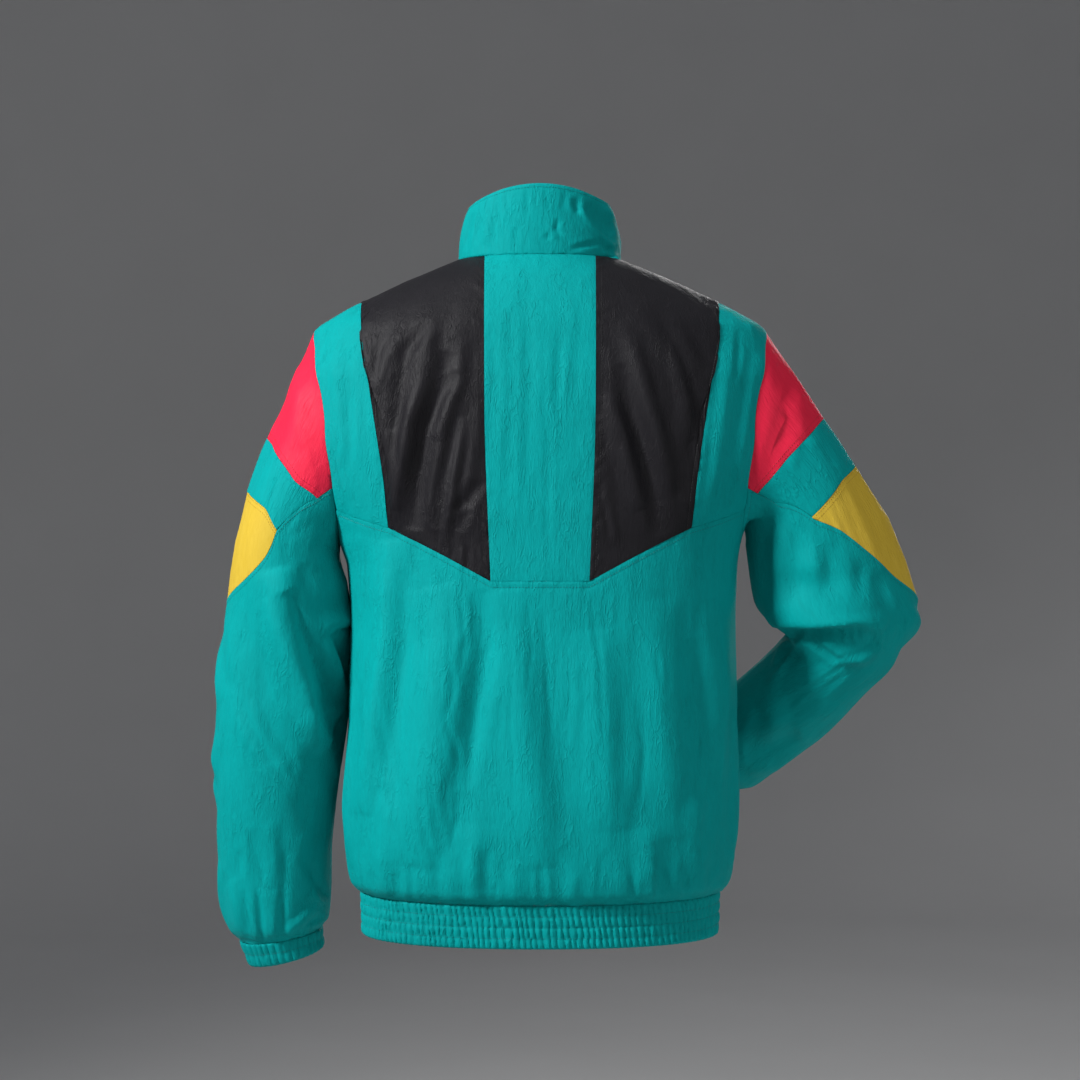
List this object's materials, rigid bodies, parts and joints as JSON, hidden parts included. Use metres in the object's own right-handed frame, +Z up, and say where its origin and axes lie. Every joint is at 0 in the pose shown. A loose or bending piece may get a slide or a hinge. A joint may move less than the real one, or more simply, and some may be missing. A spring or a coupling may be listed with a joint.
{
  "type": "windbreaker jacket",
  "caption": "Hip-length windbreaker jacket in its worn, hollow form, with a stand collar, a gathered waistband and gathered cuffs; one arm hangs and the other is bent.",
  "frame": {"origin": "centre of the neck opening at the height of the collar seam, where the garment is held", "axes": "+Z up, +Y towards the wearer's back, +X towards the wearer's left"},
  "size_m": [0.7062, 0.3066, 0.7778],
  "materials": {
    "teal_nylon": "matt, finely crinkled",
    "black_nylon": "smooth, slightly glossy",
    "red_nylon": "smooth, slightly glossy",
    "yellow_nylon": "smooth, slightly glossy",
    "zip_tape": "woven tape",
    "zip_metal": "plated zinc"
  },
  "bodies": {
    "garment": {"back_centre": "teal_nylon", "back_black_left": "black_nylon", "back_black_right": "black_nylon", "back_side_left": "teal_nylon", "back_side_right": "teal_nylon", "back_lower": "teal_nylon", "front_left": "teal_nylon", "front_right": "teal_nylon", "collar": "teal_nylon", "waistband": "teal_nylon", "zip_tape_left": "zip_tape", "zip_tape_right": "zip_tape", "zip_slider": "zip_metal", "sleeve_left_red": "red_nylon", "sleeve_left_band": "teal_nylon", "sleeve_left_yellow": "yellow_nylon", "sleeve_left_main": "teal_nylon", "cuff_left": "teal_nylon", "sleeve_right_red": "red_nylon", "sleeve_right_band": "teal_nylon", "sleeve_right_yellow": "yellow_nylon", "sleeve_right_main": "teal_nylon", "cuff_right": "teal_nylon"},
    "pull_tab": {"zip_pull": "zip_metal"}
  },
  "joints": [
    {"name": "pull_hinge", "type": "hinge", "parent": "garment", "child": "pull_tab", "pos_m": [0, -0.07418, 0.02154], "axis": [-1, 0, 0], "range_deg": [0, 150]}
  ]
}
